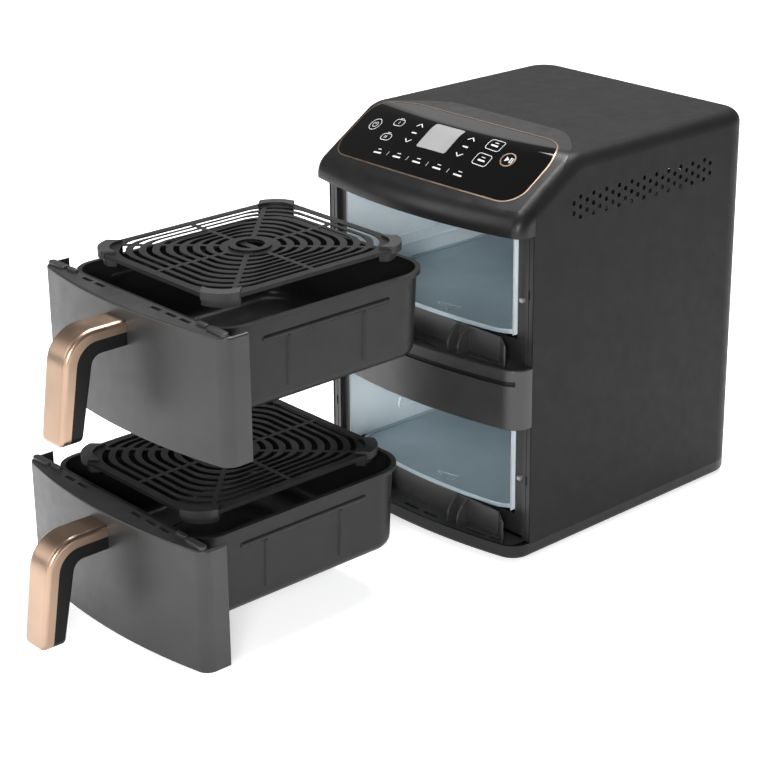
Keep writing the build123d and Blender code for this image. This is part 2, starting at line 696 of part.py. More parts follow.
# ----------------------------------------------------------------------------
# Head: housing, gloss panel, outline ring, display and electronics
# ----------------------------------------------------------------------------
PANEL_THICK = 1.8
PANEL_TILT = 21.0
PANEL_MID = (-4.0, -128.0, 384.5)
PANEL_LENGTH = 262.0
PANEL_LOW = -51.0
PANEL_HIGH = 51.0
PANEL_SAG = 8.0  # lower edge's rise from the middle to either end
PANEL_LOWER_CORNER = 24.0
PANEL_UPPER_CORNER = 46.0
RING_WIDTH = 1.5
RING_PROUD = 0.3
UNDERSIDE = 2.5
BUTTON_SPOT = (88.0, -0.5)
BUTTON_RADIUS = 8.4

panel_plane = Plane(
    origin=PANEL_MID,
    x_dir=(1, 0, 0),
    z_dir=(0, -math.sin(math.radians(PANEL_TILT)), math.cos(math.radians(PANEL_TILT))),
)


def panel_outline(grow):
    """Rounded panel outline whose lower edge bows down like the head."""
    half = PANEL_LENGTH / 2
    with BuildSketch() as outline:
        with BuildLine():
            ThreePointArc((-half, PANEL_LOW + PANEL_SAG), (0, PANEL_LOW), (half, PANEL_LOW + PANEL_SAG))
            Polyline(
                (half, PANEL_LOW + PANEL_SAG),
                (half, PANEL_HIGH),
                (-half, PANEL_HIGH),
                (-half, PANEL_LOW + PANEL_SAG),
            )
        make_face()
        fillet(outline.vertices().group_by(Axis.Y)[0], PANEL_LOWER_CORNER)
        fillet(outline.vertices().group_by(Axis.Y)[-1], PANEL_UPPER_CORNER)
        offset(amount=grow)
    return outline.sketch


def panel_prism(grow):
    """The control panel's outline carried through the head, grown on all sides."""
    with BuildPart() as prism:
        with BuildSketch(panel_plane.offset(-40)):
            add(panel_outline(grow))
        extrude(amount=80)
    return prism.part


def button_tube(grow):
    """Tube that cuts the ring round the start button, its wall grown on both sides."""
    with BuildPart() as tube:
        with BuildSketch(panel_plane.offset(-40)):
            with Locations(BUTTON_SPOT):
                Circle(BUTTON_RADIUS + grow)
                Circle(BUTTON_RADIUS - 1.2 - grow, mode=Mode.SUBTRACT)
        extrude(amount=80)
    return tube.part


def skin(outer, depth):
    """Layer of the head from outer (negative is proud) down to depth."""
    with BuildPart() as layer:
        add(head_form(outer))
        add(head_form(depth, HEAD_BOTTOM - 1), mode=Mode.SUBTRACT)
    return layer.part


def panel_recess():
    """Room for the panel and the ring round it."""
    with BuildPart() as recess:
        add(skin(-1, PANEL_THICK))
        add(panel_prism(RING_WIDTH + 0.1), mode=Mode.INTERSECT)
    return recess.part


with BuildPart() as control_housing:
    add(skin(0, WALL))
    with BuildSketch(level(HEAD_BOTTOM)):
        add(bowed_outline(HALF_WIDTH - 1, FRONT_Y - 0.2, TOP_RADIUS - 1, BOW_Y + 1))
    extrude(amount=UNDERSIDE)
    add(head_split(0.2), mode=Mode.INTERSECT)
    add(panel_recess(), mode=Mode.SUBTRACT)
save(control_housing, "control_housing")

with BuildPart() as control_panel:
    add(skin(0, PANEL_THICK))
    add(panel_prism(0), mode=Mode.INTERSECT)
    add(button_tube(0.05), mode=Mode.SUBTRACT)
save(control_panel, "control_panel")

with BuildPart() as panel_trim_ring:
    add(skin(-RING_PROUD, PANEL_THICK))
    add(panel_prism(RING_WIDTH), mode=Mode.INTERSECT)
    add(panel_prism(0.05), mode=Mode.SUBTRACT)
save(panel_trim_ring, "panel_trim_ring")

with BuildPart() as start_button_ring:
    add(skin(-RING_PROUD, PANEL_THICK))
    add(button_tube(0), mode=Mode.INTERSECT)
save(start_button_ring, "start_button_ring")

# ----------------------------------------------------------------------------
# Electronics above the upper cavity
# ----------------------------------------------------------------------------
TRAY_Z = 341.0
BOARD_Z = 348.0
BOARD_SIZE = (180.0, 90.0)
BOARD_MID = (0.0, -15.0)
BOARD_THICK = 1.6
CONTROL_BOARD_DROP = 12.0  # below the head's slope
board_plane = Plane(
    origin=(0, -157, 378.5),
    x_dir=(1, 0, 0),
    z_dir=(0, -math.sin(HEAD_SLOPE), math.cos(HEAD_SLOPE)),
)

with BuildPart() as electronics_tray:
    with BuildSketch(level(TRAY_Z)):
        with Locations((0, -30)):
            RectangleRounded(268, 220, 6)
    extrude(amount=1)
    with BuildSketch(level(TRAY_Z + 1)):
        with Locations(BOARD_MID):
            with GridLocations(BOARD_SIZE[0] - 10, BOARD_SIZE[1] - 10, 2, 2):
                Circle(3)
    extrude(amount=BOARD_Z - TRAY_Z - 1)
    with BuildSketch(level(TRAY_Z - 1)):
        with Locations((0, -30)):
            with GridLocations(22, 190, 11, 2):
                SlotOverall(14, 4, rotation=90)
    extrude(amount=3, mode=Mode.SUBTRACT)
save(electronics_tray, "electronics_tray")

with BuildPart() as power_board:
    with BuildSketch(level(BOARD_Z)):
        with Locations(BOARD_MID):
            Rectangle(*BOARD_SIZE)
    extrude(amount=BOARD_THICK)
save(power_board, "power_board")

with BuildPart() as board_components:
    top = BOARD_Z + BOARD_THICK
    blocks = [(-60, -15, 42, 36, 28), (-10, 8, 20, 16, 15), (16, 8, 20, 16, 15), (62, 4, 26, 12, 11)]
    for x, y, length, width, height in blocks:
        with BuildSketch(level(top)):
            with Locations((x, y)):
                Rectangle(length, width)
        extrude(amount=height)
    with BuildSketch(level(top)):
        with Locations((-12, -38), (10, -38), (66, -36)):
            Circle(8)
    extrude(amount=24)
save(board_components, "board_components")

with BuildPart() as control_board:
    with BuildSketch(board_plane.offset(-CONTROL_BOARD_DROP)):
        Rectangle(200, 34)
    extrude(amount=BOARD_THICK)
save(control_board, "control_board")

with BuildPart() as display_module:
    with BuildSketch(board_plane.offset(BOARD_THICK - CONTROL_BOARD_DROP)):
        with Locations((-7, 0)):
            Rectangle(44, 30)
    extrude(amount=5.5)
save(display_module, "display_module")

# ----------------------------------------------------------------------------
# Drawers, drawn fully out
# ----------------------------------------------------------------------------
FRONT_CORNER_RADIUS = 12.0
FRONT_BACK_Y = -156.0
LEDGE_BACK_Y = -172.5
LEDGE_SLOTS = [-70, -50, 34, 56, 76]
EAR_HEIGHT = 3.4
RIB_FOOT = 26.0
SWITCH_RIB_X = DRAWER_HALF_WIDTH - 7
REAR_CORNER = 34.0
PAN_CORNER = 25.0
PAN_BEND = 10.0

HANDLE_WIDTH = 31.0
GRIP_BOTTOM = 6.0
GRIP_TOP = 107.0
# Each handle line: reach at the top, reach at the bottom, height, bend radius.
OUTER_LINE = (-258.0, -272.0, GRIP_TOP, 34.0)
MIDDLE_LINE = (-246.5, -261.0, 96.0, 23.0)
INNER_LINE = (-232.0, -248.0, 83.0, 11.0)
HANDLE_ROUND = {"shell": 4.5, "core": 2.5}
FOOT_ROUND = 7.0


def front_outline(inset):
    """Plan of a drawer front; the inner one runs out past the back."""
    back_y = FRONT_BACK_Y + (20 if inset else 0)
    return bowed_outline(
        DRAWER_HALF_WIDTH - inset, back_y, FRONT_CORNER_RADIUS - inset, BOW_Y + inset
    )


def pan_outline(grow):
    """Plan of a pan at its rim, grown on all sides."""
    with BuildSketch() as outline:
        with Locations((0, (PAN_FRONT_Y + PAN_REAR_Y) / 2)):
            Rectangle(2 * (PAN_HALF_WIDTH + grow), PAN_REAR_Y - PAN_FRONT_Y + 2 * grow)
        fillet(outline.vertices().group_by(Axis.Y)[-1], REAR_CORNER + grow)
        fillet(outline.vertices().group_by(Axis.Y)[0], PAN_CORNER + grow)
    return outline.sketch


def pan_form(bottom, out, inset):
    """Tapered pan body drawn in by inset, open space above when subtracted."""
    drop = (PAN_TOP - PAN_BOTTOM) * math.tan(math.radians(PAN_TAPER))
    with BuildPart() as form:
        with BuildSketch(level(bottom + PAN_BOTTOM + inset, out)):
            add(pan_outline(-drop - inset))
        extrude(amount=PAN_TOP - PAN_BOTTOM - inset, taper=-PAN_TAPER)
        fillet(form.edges().group_by(Axis.Z)[0], PAN_BEND - inset)
    return form.part


def handle_line(reach, foot, height, bend):
    """One line of a handle's side view, from inside the drawer front to the foot."""
    return FilletPolyline((BOW_Y + 8, height), (reach, height), (foot, GRIP_BOTTOM), radius=bend)


def handle_profile(outer, inner):
    """Side view of one layer of a handle, between two of its lines."""
    with BuildSketch() as profile:
        with BuildLine():
            first = handle_line(*outer)
            second = handle_line(*inner)
            Line(first @ 0, second @ 0)
            Line(first @ 1, second @ 1)
        make_face()
    return profile.sketch


def is_foot_corner(edge, bottom):
    """Whether an edge of a handle is one of the two that close its foot at the sides."""
    middle = edge @ 0.5
    return abs(middle.X) > HANDLE_WIDTH / 2 - 0.1 and middle.Z < bottom + GRIP_BOTTOM + 0.1


def is_rim(edge, line, bottom, out):
    """Whether an edge of a handle runs along a line's sides or across its foot."""
    middle = edge @ 0.5
    beside = abs(middle.X) > 1 or middle.Z < bottom + GRIP_BOTTOM + 1
    return beside and line.distance_to(Vector(middle.Y + out, middle.Z - bottom, 0)) < 0.1


for level_name, bottom in DRAWER_BOTTOM.items():
    out = DRAWER_TRAVEL[level_name]
    top = bottom + DRAWER_HEIGHT

    with BuildPart() as drawer_front:
        with BuildSketch(level(bottom, out)):
            add(front_outline(0))
        extrude(amount=DRAWER_HEIGHT)
        fillet(drawer_front.faces().sort_by(Axis.Z)[-1].edges().sort_by(Axis.Y)[:3], 2)
        with BuildSketch(level(bottom - 1, out)):
            add(front_outline(WALL))
        extrude(amount=DRAWER_HEIGHT - WALL + 1, mode=Mode.SUBTRACT)
        # The ledge stops short of the pan's rim; slots and ears sit on it.
        with BuildSketch(level(top - WALL - 1, out)):
            with Locations((0, LEDGE_BACK_Y + 20)):
                Rectangle(2 * (DRAWER_HALF_WIDTH - WALL), 40)
        extrude(amount=WALL + 2, mode=Mode.SUBTRACT)
        for slot_x in LEDGE_SLOTS:
            with BuildSketch(level(top - WALL - 1, out)):
                with Locations((slot_x, LEDGE_BACK_Y - 5.5)):
                    Rectangle(14, 4.5)
            extrude(amount=WALL + 2, mode=Mode.SUBTRACT)
        with BuildSketch(level(top, out)):
            for side in (-1, 1):
                with Locations((side * (DRAWER_HALF_WIDTH - 16), LEDGE_BACK_Y - 4)):
                    SlotOverall(25, 7.6)
                with Locations((side * (DRAWER_HALF_WIDTH - 38), LEDGE_BACK_Y - 3)):
                    SlotOverall(14, 5)
        extrude(amount=EAR_HEIGHT)
        fillet(drawer_front.faces().group_by(Axis.Z)[-1].edges(), 0.9)
        # Ribs behind the bowed skin, one of which meets the door switch.
        with BuildSketch(level(bottom + RIB_FOOT, out)):
            for side in (-1, 1):
                with Locations((side * SWITCH_RIB_X, PLUNGER_TIP_Y - 20.4)):
                    Rectangle(6, 40)
            add(front_outline(1), mode=Mode.INTERSECT)
        extrude(amount=70)
    save(drawer_front, f"{level_name}_drawer_front")

    with BuildPart() as pan:
        add(pan_form(bottom, out, 0))
        with BuildSketch(level(bottom + PAN_TOP - PAN_WALL, out)):
            add(pan_outline(RIM_WIDTH))
        extrude(amount=PAN_WALL)
        with BuildSketch(level(bottom + PAN_TOP - 4, out)):
            add(pan_outline(RIM_WIDTH))
            add(pan_outline(RIM_WIDTH - PAN_WALL), mode=Mode.SUBTRACT)
        extrude(amount=4 - PAN_WALL)
        add(pan_form(bottom, out, PAN_WALL), mode=Mode.SUBTRACT)
        # Raised rings pressed into the floor.
        with BuildSketch(level(bottom + PAN_BOTTOM + PAN_WALL, out)):
            with Locations((0, (PAN_FRONT_Y + PAN_REAR_Y) / 2)):
                for ring in (24, 48, 72):
                    Circle(ring)
                    Circle(ring - 3, mode=Mode.SUBTRACT)
        extrude(amount=0.9)
    save(pan, f"{level_name}_pan")

    with BuildPart() as pan_bracket:
        with BuildSketch(level(bottom + 60, out)):
            with BuildLine():
                Polyline(
                    (-40, -192),
                    (-40, -169.5),
                    (40, -169.5),
                    (40, -192),
                    (38.5, -192),
                    (38.5, -171),
                    (-38.5, -171),
                    (-38.5, -192),
                    close=True,
                )
            make_face()
        extrude(amount=44)
    save(pan_bracket, f"{level_name}_pan_bracket")

    handle_layers = {"shell": (OUTER_LINE, MIDDLE_LINE), "core": (MIDDLE_LINE, INNER_LINE)}
    for layer, (outer, inner) in handle_layers.items():
        exposed_line = handle_line(*(outer if layer == "shell" else inner))
        with BuildPart() as handle:
            with BuildSketch(side_on(-HANDLE_WIDTH / 2, out)):
                with Locations((0, bottom)):
                    add(handle_profile(outer, inner))
            extrude(amount=HANDLE_WIDTH)
            fillet(handle.edges().filter_by(lambda edge: is_foot_corner(edge, bottom)), FOOT_ROUND)
            rims = handle.edges().filter_by(lambda edge: is_rim(edge, exposed_line, bottom, out))
            fillet(rims, HANDLE_ROUND[layer])
            with BuildSketch(level(bottom, out)):
                add(front_outline(0))
            extrude(amount=DRAWER_HEIGHT, mode=Mode.SUBTRACT)
        save(handle, f"{level_name}_handle_{layer}")

    with BuildPart() as handle_screws:
        for height in (88.0, 102.0):
            with BuildSketch(rearward(0, BOW_Y + WALL + 0.1 - out, bottom + height)):
                Circle(3.5)
            extrude(amount=2.4)
    save(handle_screws, f"{level_name}_handle_screws")

# ----------------------------------------------------------------------------
# Crisper plates, held up over their pans
# ----------------------------------------------------------------------------
PLATE_MID_Y = -47.0
PLATE_CORNER = 28.0
PLATE_RIM = 2.8
RING_COUNT = 8
RING_PITCH_X = 8.0
RING_PITCH_Y = 9.9
HUB_HALF = 24.0
SPOKE_WIDTH = 4.5
SLOT_WIDTH = 5.6
CLIP_WIDTH = 34.0
CLIP_REACH = 3.0
CLIP_LEG = 11.0
CLIP_INSET = 2.0  # leg's step in, clear of the pan's bend


def ring_outline(half_x, half_y, corner):
    """Rounded rectangle, or a circle where the corner fills it."""
    with BuildSketch() as outline:
        Rectangle(2 * half_x, 2 * half_y)
        fillet(outline.vertices(), min(corner, half_x - 0.05, half_y - 0.05))
    return outline.sketch


def slot_pattern():
    """Concentric slots that grow from round to the plate's outline, cut by spokes."""
    with BuildSketch() as pattern:
        for ring in reversed(range(RING_COUNT)):
            half_x = HUB_HALF + RING_PITCH_X * (ring + 1)
            half_y = HUB_HALF + RING_PITCH_Y * (ring + 1)
            corner = half_x - ring * 6.5
            add(ring_outline(half_x, half_y, corner))
            add(
                ring_outline(half_x - SLOT_WIDTH, half_y - SLOT_WIDTH, corner - SLOT_WIDTH),
                mode=Mode.SUBTRACT,
            )
    return pattern.sketch


def corner_strips():
    """Square patches over a plate's four corners, turned to face outward."""
    reach = PLATE_CORNER * (1 - math.sqrt(0.5)) + 6
    with BuildSketch() as strips:
        for side_x in (-1, 1):
            for side_y in (-1, 1):
                with Locations((side_x * (PLATE_HALF_X - reach), side_y * (PLATE_HALF_Y - reach))):
                    Rectangle(CLIP_WIDTH, CLIP_WIDTH, rotation=45)
    return strips.sketch


def clip_ring(grow, depth):
    """Band that follows the plate's edge, cut to the width of a clip at each corner."""
    with BuildSketch() as ring:
        add(ring_outline(PLATE_HALF_X + grow, PLATE_HALF_Y + grow, PLATE_CORNER + grow))
        add(
            ring_outline(PLATE_HALF_X - depth, PLATE_HALF_Y - depth, PLATE_CORNER - depth),
            mode=Mode.SUBTRACT,
        )
        add(corner_strips(), mode=Mode.INTERSECT)
    return ring.sketch


for level_name, bottom in DRAWER_BOTTOM.items():
    out = DRAWER_TRAVEL[level_name] - PLATE_MID_Y
    plate_z = bottom + PLATE_SEAT + PLATE_LIFT[level_name]

    with BuildPart() as crisper_plate:
        with BuildSketch(level(plate_z, out)):
            add(ring_outline(PLATE_HALF_X, PLATE_HALF_Y, PLATE_CORNER))
        extrude(amount=PLATE_THICK)
        with BuildSketch(level(plate_z - PLATE_RIM, out)):
            add(ring_outline(PLATE_HALF_X, PLATE_HALF_Y, PLATE_CORNER))
            add(
                ring_outline(PLATE_HALF_X - 1.5, PLATE_HALF_Y - 1.5, PLATE_CORNER - 1.5),
                mode=Mode.SUBTRACT,
            )
        extrude(amount=PLATE_RIM)
        with BuildSketch(level(plate_z - 1, out)):
            add(slot_pattern())
            for angle in (0, 45, 90, 135):
                Rectangle(300, SPOKE_WIDTH, rotation=angle, mode=Mode.SUBTRACT)
        extrude(amount=PLATE_THICK + 2, mode=Mode.SUBTRACT)
        # Raised grip ring with a bar across its hole.
        with BuildSketch(level(plate_z + PLATE_THICK, out)):
            Circle(20)
            Circle(13.5, mode=Mode.SUBTRACT)
        extrude(amount=2)
        with BuildSketch(level(plate_z - 1, out)):
            Circle(13)
            Rectangle(40, 7, mode=Mode.SUBTRACT)
        extrude(amount=PLATE_THICK + 4, mode=Mode.SUBTRACT)
        with BuildSketch(level(plate_z - 1, out)):
            add(clip_ring(1, 2.7))
        extrude(amount=PLATE_THICK + 2, mode=Mode.SUBTRACT)
        with BuildSketch(level(plate_z - PLATE_RIM - 1, out)):
            add(clip_ring(1, 2.7))
        extrude(amount=PLATE_RIM + 1, mode=Mode.SUBTRACT)
    save(crisper_plate, f"{level_name}_crisper_plate")

    with BuildPart() as corner_bumpers:
        with BuildSketch(level(plate_z - CLIP_LEG, out)):
            add(clip_ring(-CLIP_INSET, 8))
        extrude(amount=CLIP_LEG - PLATE_RIM - 0.1)
        with BuildSketch(level(plate_z - PLATE_RIM - 1, out)):
            add(clip_ring(CLIP_REACH, 2.6))
        extrude(amount=PLATE_RIM + 1 + PLATE_THICK + 2.5)
        with BuildSketch(level(plate_z + PLATE_THICK + 0.1, out)):
            add(clip_ring(CLIP_REACH, 8))
        extrude(amount=2.4)
    save(corner_bumpers, f"{level_name}_corner_bumpers")
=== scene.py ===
import json
import math

import bmesh
import bpy
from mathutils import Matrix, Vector
from mathutils.bvhtree import BVHTree


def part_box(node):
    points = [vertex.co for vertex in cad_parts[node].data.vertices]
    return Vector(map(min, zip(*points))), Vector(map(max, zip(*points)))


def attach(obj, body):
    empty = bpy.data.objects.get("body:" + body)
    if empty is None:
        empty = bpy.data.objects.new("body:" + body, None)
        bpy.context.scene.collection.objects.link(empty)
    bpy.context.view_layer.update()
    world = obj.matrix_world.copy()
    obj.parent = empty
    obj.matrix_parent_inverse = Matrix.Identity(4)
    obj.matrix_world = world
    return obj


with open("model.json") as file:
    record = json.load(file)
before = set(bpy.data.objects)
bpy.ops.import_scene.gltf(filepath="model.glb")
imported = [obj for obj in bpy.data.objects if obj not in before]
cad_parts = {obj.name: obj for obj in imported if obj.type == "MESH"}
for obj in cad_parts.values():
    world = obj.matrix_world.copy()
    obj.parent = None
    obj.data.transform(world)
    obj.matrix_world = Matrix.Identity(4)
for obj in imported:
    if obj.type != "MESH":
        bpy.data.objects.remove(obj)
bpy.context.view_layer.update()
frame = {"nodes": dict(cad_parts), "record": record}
nodes = frame["nodes"]
MM = 0.001
LEVELS = ("lower", "upper")

# ---------------------------------------------------------------- camera
CAMERA_AT = Vector((1.40364, -1.46451, 0.92837))
CAMERA_LOOK = Vector((-0.682, 0.643, -0.350))
LENS = 96.57
SHIFT = -0.0789

camera_data = bpy.data.cameras.new("camera")
camera_data.lens = LENS
camera_data.sensor_width = 36.0
camera_data.shift_x = SHIFT
camera_data.shift_y = SHIFT
camera_data.clip_end = 50.0
camera = bpy.data.objects.new("camera", camera_data)
camera.location = CAMERA_AT
camera.rotation_euler = CAMERA_LOOK.to_track_quat("-Z", "Y").to_euler()
bpy.context.scene.collection.objects.link(camera)
bpy.context.scene.camera = camera
bpy.context.scene.view_settings.view_transform = "Standard"


# ---------------------------------------------------------------- lights and stage
def area_light(name, place, aim, size, power, tint=(1, 1, 1)):
    """Soft rectangular lamp at a place, turned towards a point."""
    data = bpy.data.lights.new(name, "AREA")
    data.shape = "RECTANGLE"
    data.size, data.size_y = size
    data.energy = power
    data.color = tint
    lamp = bpy.data.objects.new(name, data)
    lamp.location = place
    lamp.rotation_euler = (Vector(aim) - Vector(place)).to_track_quat("-Z", "Y").to_euler()
    bpy.context.scene.collection.objects.link(lamp)


WORLD_LEFT = 0.17
WORLD_RIGHT = 0.05


def studio_world():
    """Dim studio, darker on the object's right, so that gloss stays deep and that side falls off."""
    world = bpy.data.worlds.new("studio")
    bpy.context.scene.world = world
    world.use_nodes = True
    tree = world.node_tree
    background = tree.nodes["Background"]
    place = tree.nodes.new("ShaderNodeTexCoord")
    split = tree.nodes.new("ShaderNodeSeparateXYZ")
    tree.links.new(place.outputs["Generated"], split.inputs["Vector"])
    side = tree.nodes.new("ShaderNodeMapRange")
    side.interpolation_type = "SMOOTHSTEP"
    side.inputs["From Min"].default_value = 0.15
    side.inputs["From Max"].default_value = 0.85
    side.inputs["To Min"].default_value = WORLD_LEFT
    side.inputs["To Max"].default_value = WORLD_RIGHT
    tree.links.new(split.outputs["X"], side.inputs["Value"])
    tree.links.new(side.outputs["Result"], background.inputs["Strength"])
    background.inputs["Color"].default_value = (1, 1, 1, 1)


studio_world()
area_light("key", (-1.5, -2.4, 1.5), (0, -0.3, 0.2), (1.2, 1.6), 24)
area_light("top", (-0.3, 0.4, 2.4), (0, 0, 0.2), (1.4, 1.4), 100)
area_light("back", (-2.0, 1.9, 1.2), (0, 0, 0.3), (1.8, 1.0), 3)
area_light("front", (0.35, -2.8, 0.7), (0, -0.3, 0.2), (0.5, 1.4), 9)
area_light("fill", (1.6, -1.9, 1.0), (0, 0, 0.22), (0.5, 0.5), 34)
area_light("side", (2.2, 1.9, 0.9), (0.15, 0.15, 0.2), (0.8, 1.0), 6)

FLOOR_HALF = 14.0
FLOOR_GLOW = 0.62
floor_mesh = bpy.data.meshes.new("floor")
floor_corners = [(x * FLOOR_HALF, y * FLOOR_HALF, 0) for x, y in ((-1, -1), (1, -1), (1, 1), (-1, 1))]
floor_mesh.from_pydata(floor_corners, [], [(0, 1, 2, 3)])
floor = bpy.data.objects.new("floor", floor_mesh)
bpy.context.scene.collection.objects.link(floor)
floor_material = bpy.data.materials.new("floor")
floor_material.use_nodes = True
floor_shader = floor_material.node_tree.nodes["Principled BSDF"]
floor_shader.inputs["Base Color"].default_value = (0.93, 0.93, 0.93, 1)
floor_shader.inputs["Roughness"].default_value = 0.95
floor_shader.inputs["Specular IOR Level"].default_value = 0.0
floor_shader.inputs["Emission Color"].default_value = (1, 1, 1, 1)
floor_shader.inputs["Emission Strength"].default_value = FLOOR_GLOW
floor_mesh.materials.append(floor_material)


# ---------------------------------------------------------------- materials
class Finish:
    """A Principled material whose colour, roughness and relief come from its nodes."""

    def __init__(self, name, colour, roughness, metallic=0.0, specular=0.5):
        self.material = bpy.data.materials.new(name)
        self.material.use_nodes = True
        self.tree = self.material.node_tree
        self.shader = self.tree.nodes["Principled BSDF"]
        self.shader.inputs["Metallic"].default_value = metallic
        self.shader.inputs["Specular IOR Level"].default_value = specular
        self.coordinates = self.tree.nodes.new("ShaderNodeTexCoord").outputs["Object"]
        self.colour = colour
        self.roughness = roughness
        self.normal = None

    def noise(self, scale, detail=3.0, stretch=(1, 1, 1)):
        """Noise in object space; scale is cells per metre."""
        mapping = self.tree.nodes.new("ShaderNodeMapping")
        mapping.inputs["Scale"].default_value = stretch
        self.tree.links.new(self.coordinates, mapping.inputs["Vector"])
        texture = self.tree.nodes.new("ShaderNodeTexNoise")
        texture.inputs["Scale"].default_value = scale
        texture.inputs["Detail"].default_value = detail
        self.tree.links.new(mapping.outputs["Vector"], texture.inputs["Vector"])
        return texture.outputs["Fac"]

    def spread(self, factor, low, high, start=0.3, end=0.7):
        """A factor brought from start..end to low..high."""
        remap = self.tree.nodes.new("ShaderNodeMapRange")
        for socket, value in zip(("From Min", "From Max", "To Min", "To Max"), (start, end, low, high)):
            remap.inputs[socket].default_value = value
        self.tree.links.new(factor, remap.inputs["Value"])
        return remap.outputs["Result"]

    def mix(self, factor, first, second):
        """Blend of two colours, given as sockets or as tuples."""
        node = self.tree.nodes.new("ShaderNodeMix")
        node.data_type = "RGBA"
        self.tree.links.new(factor, node.inputs["Factor"])
        for socket, value in zip(("A", "B"), (first, second)):
            target = [s for s in node.inputs if s.name == socket and s.type == "RGBA"][0]
            if isinstance(value, tuple):
                target.default_value = (*value, 1)
            else:
                self.tree.links.new(value, target)
        return [s for s in node.outputs if s.type == "RGBA"][0]

    def vary(self, amount, scale, roughness_spread):
        """Cloudy change of tone and gloss over the whole surface."""
        cloud = self.noise(scale)
        dark = tuple(c * (1 - amount) for c in self.colour)
        light = tuple(min(1.0, c * (1 + amount)) for c in self.colour)
        self.colour_socket = self.mix(self.spread(cloud, 0, 1), dark, light)
        self.roughness_socket = self.spread(
            self.noise(scale * 3.1), self.roughness - roughness_spread, self.roughness + roughness_spread
        )

    def relief(self, scale, distance, strength=1.0, stretch=(1, 1, 1)):
        """Fine bump, such as moulded texture, brushing or a sprayed coat."""
        bump = self.tree.nodes.new("ShaderNodeBump")
        bump.inputs["Distance"].default_value = distance
        bump.inputs["Strength"].default_value = strength
        self.tree.links.new(self.noise(scale, 2.0, stretch), bump.inputs["Height"])
        if self.normal:
            self.tree.links.new(self.normal, bump.inputs["Normal"])
        self.normal = bump.outputs["Normal"]

    def wear_and_highlight(self, colour, radius, amount):
        """Edges brought to another tone, partly rubbed wear and partly a painted highlight, found from how a
        bevelled normal turns there.
        """
        bevel = self.tree.nodes.new("ShaderNodeBevel")
        bevel.samples = 4
        bevel.inputs["Radius"].default_value = radius
        geometry = self.tree.nodes.new("ShaderNodeNewGeometry")
        turn = self.tree.nodes.new("ShaderNodeVectorMath")
        turn.operation = "DOT_PRODUCT"
        self.tree.links.new(bevel.outputs["Normal"], turn.inputs[0])
        self.tree.links.new(geometry.outputs["Normal"], turn.inputs[1])
        # edge mask: where the painted highlight and the rubbed wear go
        edge = self.spread(turn.outputs["Value"], amount, 0.0, 0.86, 0.995)
        broken = self.spread(self.noise(260, 4.0), 0.25, 1.0)
        product = self.tree.nodes.new("ShaderNodeMath")
        product.operation = "MULTIPLY"
        self.tree.links.new(edge, product.inputs[0])
        self.tree.links.new(broken, product.inputs[1])
        self.colour_socket = self.mix(product.outputs["Value"], self.colour_socket, colour)

    def finish(self):
        """Plug the finished sockets into the shader."""
        self.tree.links.new(self.colour_socket, self.shader.inputs["Base Color"])
        self.tree.links.new(self.roughness_socket, self.shader.inputs["Roughness"])
        if self.normal:
            self.tree.links.new(self.normal, self.shader.inputs["Normal"])
        return self.material


def moulded(name, tone, roughness, grain=0.00003, grain_scale=1500, specular=0.5, wear_and_highlight=0.35, tint=(1, 1, 1)):
    """Moulded plastic or a sprayed coat: fine grain, uneven gloss, lighter edges that are partly rubbed wear
    and partly a painted highlight.
    """
    colour = tuple(tone * t for t in tint)
    made = Finish(name, colour, roughness, specular=specular)
    made.vary(0.10, 22, 0.05)
    made.relief(grain_scale, grain)
    # lighter edges: partly rubbed wear, partly a painted highlight
    made.wear_and_highlight(tuple(min(1.0, c * 2.2 + 0.02) for c in colour), 0.0007, wear_and_highlight)
    return made.finish()


def sheet_metal(
    name, colour, roughness, brush=(1, 1, 1), grain=0.00001, wear_and_highlight=0.25, scale=500, metallic=1.0
):
    """Bare, plated or enamelled metal with brushing along one direction."""
    made = Finish(name, colour, roughness, metallic=metallic)
    made.vary(0.07, 14, 0.06)
    made.relief(scale, grain, stretch=brush)
    # lighter edges: partly rubbed wear, partly a painted highlight
    made.wear_and_highlight(tuple(min(1.0, c * 1.35) for c in colour), 0.0006, wear_and_highlight)
    return made.finish()


def gloss(name, tone, roughness=0.06, coat=0.2, tint=(1, 1, 1), specular=0.3):
    """Glossy plastic with faint smears in its polish."""
    made = Finish(name, tuple(tone * t for t in tint), roughness, specular=specular)
    made.shader.inputs["Coat Weight"].default_value = coat
    made.shader.inputs["Coat Roughness"].default_value = 0.04
    made.vary(0.05, 30, 0.02)
    made.relief(60, 0.000004)
    # lighter edges: partly rubbed wear, partly a painted highlight
    made.wear_and_highlight(tuple(min(1.0, tone * t + 0.05) for t in tint), 0.0005, 0.3)
    return made.finish()


def rose_gold():
    """Satin anodised metal of the grips and outline rings, with a fine brush."""
    made = Finish("rose_gold", (0.40, 0.28, 0.205), 0.34, metallic=1.0)
    made.vary(0.05, 18, 0.05)
    made.relief(700, 0.000006, stretch=(1, 1, 0.15))
    # lighter edges: partly rubbed wear, partly a painted highlight along the bevels of the grip
    made.wear_and_highlight((0.58, 0.43, 0.34), 0.0008, 0.5)
    return made.finish()


